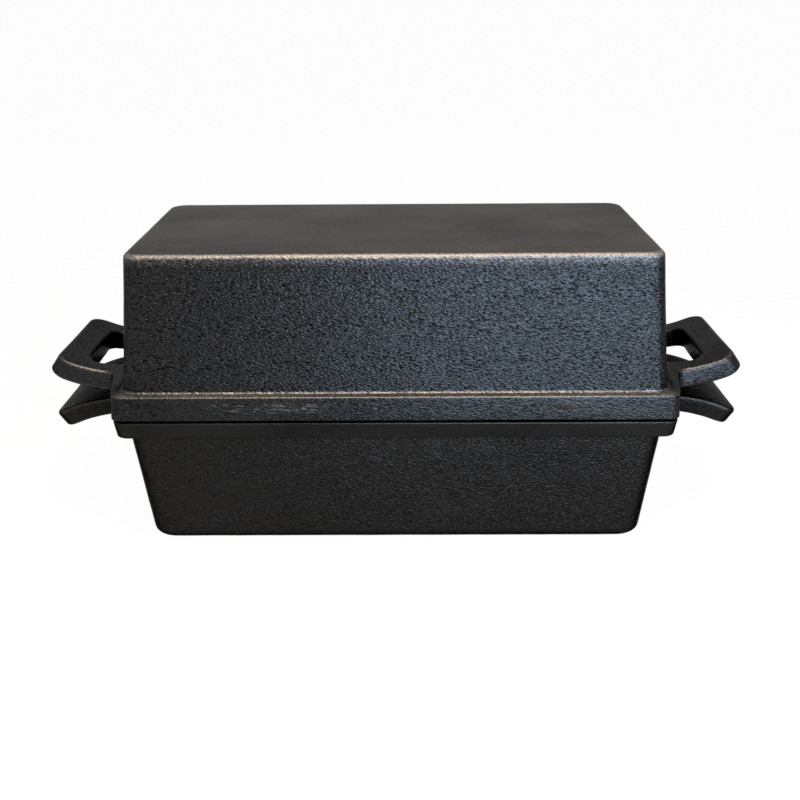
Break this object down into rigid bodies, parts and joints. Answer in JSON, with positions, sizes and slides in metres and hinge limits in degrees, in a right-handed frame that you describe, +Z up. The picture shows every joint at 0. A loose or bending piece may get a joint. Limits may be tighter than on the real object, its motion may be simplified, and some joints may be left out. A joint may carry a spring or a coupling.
{
  "type": "loaf pan with lid",
  "caption": "Rectangular cast-iron loaf pan with a deep matching lid; both halves taper away from a rim flange and have loop handles at their ends.",
  "frame": {"origin": "centre of the pan's flat underside", "axes": "+X along the loaf, through both pairs of handles; +Y across it; +Z up, the way the lid lifts"},
  "size_m": [0.3086, 0.1174, 0.1323],
  "materials": {
    "pan_iron": "seasoned black, sand-cast",
    "lid_iron": "seasoned black, sand-cast"
  },
  "bodies": {
    "pan": {"pan": "pan_iron"},
    "lid": {"lid": "lid_iron"}
  },
  "joints": [
    {"name": "lid_lift", "type": "slide", "parent": "pan", "child": "lid", "axis": [0, 0, 1], "range_m": [0, 0.15]}
  ]
}
